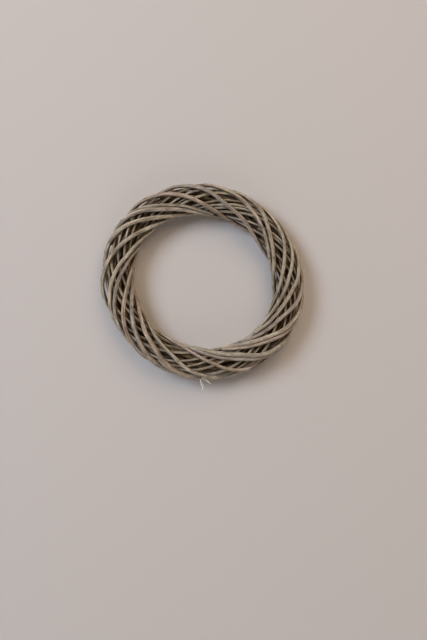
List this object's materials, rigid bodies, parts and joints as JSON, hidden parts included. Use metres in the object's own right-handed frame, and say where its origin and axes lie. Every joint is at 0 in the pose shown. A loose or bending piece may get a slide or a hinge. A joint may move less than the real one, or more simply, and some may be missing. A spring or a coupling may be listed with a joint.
{
  "type": "willow wreath",
  "caption": "Round wreath of weathered willow rods, thick rods wound one way over thin crossing rods and an inner hoop of rods, with an open centre.",
  "frame": {"origin": "middle of the bounding box, on the surface that the wreath lies on", "axes": "+Z out of the front face, which looks straight up; +Y towards the top of the wreath as it hangs; +X to the right as seen from the front"},
  "size_m": [0.4074, 0.4088, 0.0656],
  "materials": {
    "outer_willow": "weathered, matt",
    "thin_willow": "weathered, matt",
    "inner_willow": "matt"
  },
  "bodies": {
    "root": {"outer_rod_1": "outer_willow", "outer_rod_2": "outer_willow", "outer_rod_3": "outer_willow", "outer_rod_4": "outer_willow", "outer_rod_5": "outer_willow", "outer_rod_6": "outer_willow", "outer_rod_7": "outer_willow", "outer_rod_8": "outer_willow", "cross_rod_1": "thin_willow", "cross_rod_2": "thin_willow", "cross_rod_3": "thin_willow", "cross_rod_4": "thin_willow", "cross_rod_5": "thin_willow", "cross_rod_6": "thin_willow", "cross_rod_7": "thin_willow", "cross_rod_8": "thin_willow", "hoop_rod_1": "inner_willow", "hoop_rod_2": "inner_willow", "hoop_rod_3": "inner_willow", "hoop_rod_4": "inner_willow", "hoop_rod_5": "inner_willow"}
  },
  "joints": []
}
